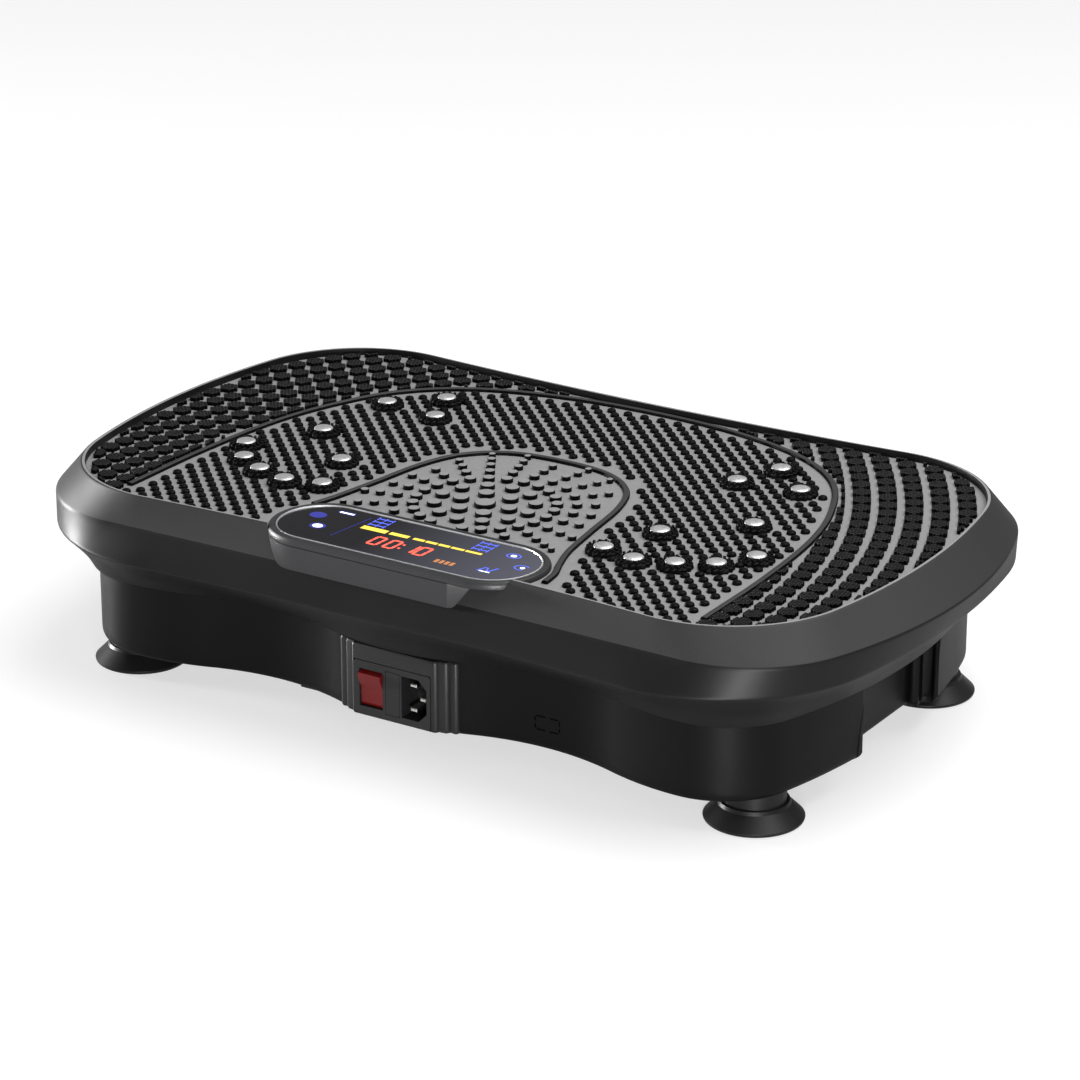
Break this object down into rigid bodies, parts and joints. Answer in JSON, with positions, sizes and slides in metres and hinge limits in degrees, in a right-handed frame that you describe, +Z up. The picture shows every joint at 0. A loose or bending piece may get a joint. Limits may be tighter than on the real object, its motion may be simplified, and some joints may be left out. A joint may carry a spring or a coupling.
{
  "type": "vibration plate",
  "caption": "See-saw vibration platform: waisted deck with a studded massage mat and touch console, crank drive inside, on a base with suction feet.",
  "frame": {"origin": "on the floor under the centre of the platform", "axes": "+Z up, +X along the platform to the right as seen from the console side, -Y towards the console and the mains inlet"},
  "size_m": [0.5322, 0.3212, 0.1213],
  "materials": {
    "base_plastic": "moulded ABS, fine satin texture",
    "cover_plastic": "moulded ABS, fine spark-eroded grain",
    "console_plastic": "smooth satin ABS",
    "module_plastic": "glass-filled nylon, satin",
    "red_plastic": "translucent red, polished",
    "nylon": "natural nylon",
    "board_green": "solder mask over glass-epoxy board",
    "disc_plastic": "black moulded plastic",
    "silver_cap": "bright metallised cap",
    "silver_ring": "satin anodised",
    "dark_glass": "smoked display lens",
    "fuse_glass": "clear glass tube",
    "mat_rubber": "grey silicone with black printed nubs",
    "foot_rubber": "black moulded rubber",
    "belt_rubber": "ribbed neoprene",
    "zinc_steel": "zinc plated",
    "ground_steel": "ground and oiled",
    "core_steel": "varnished laminations",
    "deck_steel": "black powder coat",
    "motor_paint": "grey enamel",
    "cast_alloy": "die-cast, as cast",
    "bronze": "sintered bronze",
    "nickel_pin": "nickel plated"
  },
  "bodies": {
    "base": {"base_housing": "base_plastic", "bottom_pan": "base_plastic", "pan_screws": "zinc_steel", "suction_feet": "foot_rubber", "foot_bolts": "zinc_steel", "inlet_module": "module_plastic", "inlet_pins": "nickel_pin", "rocker_pin": "zinc_steel", "pivot_pedestals": "cast_alloy", "pivot_pins": "ground_steel", "bearing_blocks": "cast_alloy", "crank_bearings": "ground_steel", "drive_belt": "belt_rubber", "motor_body": "motor_paint", "motor_bracket": "zinc_steel", "power_supply": "core_steel", "board_posts": "nylon", "control_board": "board_green"},
    "crank": {"crankshaft": "ground_steel", "crank_pulley": "cast_alloy"},
    "rotor": {"motor_shaft": "ground_steel", "motor_pulley": "cast_alloy"},
    "deck": {"top_cover": "cover_plastic", "standing_mat": "mat_rubber", "magnet_discs": "disc_plastic", "disc_caps": "silver_cap", "console_housing": "console_plastic", "console_ring": "silver_ring", "console_glass": "dark_glass", "display_board": "board_green", "display_posts": "nylon", "deck_plate": "deck_steel", "plate_screws": "zinc_steel", "pivot_brackets": "deck_steel", "pivot_bushes": "bronze", "wrist_brackets": "deck_steel", "wrist_pins": "ground_steel"},
    "left_rod": {"left_con_rod": "cast_alloy", "left_rod_bearing": "ground_steel"},
    "right_rod": {"right_con_rod": "cast_alloy", "right_rod_bearing": "ground_steel"},
    "rocker": {"rocker_switch": "red_plastic"},
    "drawer": {"fuse_drawer": "module_plastic", "glass_fuse": "fuse_glass"}
  },
  "joints": [
    {"name": "deck_tilt", "type": "hinge", "parent": "base", "child": "deck", "pos_m": [0, 0, 0.058], "axis": [0, 1, 0], "range_deg": [-0.9, 0.9], "stiffness_Nm_per_rad": 60},
    {"name": "crank_spin", "type": "hinge", "parent": "base", "child": "crank", "pos_m": [0, 0, 0.05], "axis": [1, 0, 0], "continuous": true},
    {"name": "rotor_spin", "type": "hinge", "parent": "base", "child": "rotor", "pos_m": [0, 0.062, 0.057], "axis": [1, 0, 0], "continuous": true},
    {"name": "left_rod_swing", "type": "hinge", "parent": "deck", "child": "left_rod", "pos_m": [-0.1, 0, 0.086], "axis": [1, 0, 0], "range_deg": [-1.5, 1.5]},
    {"name": "right_rod_swing", "type": "hinge", "parent": "deck", "child": "right_rod", "pos_m": [0.1, 0, 0.086], "axis": [1, 0, 0], "range_deg": [-1.5, 1.5]},
    {"name": "switch_rock", "type": "hinge", "parent": "base", "child": "rocker", "pos_m": [-0.0142, -0.1331, 0.0369], "axis": [1, 0, 0], "range_deg": [-24, 0]},
    {"name": "drawer_slide", "type": "slide", "parent": "base", "child": "drawer", "axis": [0, -1, 0], "range_m": [0, 0.018]}
  ],
  "couplings": [
    {"joint": "rotor_spin", "follows": "crank_spin", "ratio": 2}
  ]
}
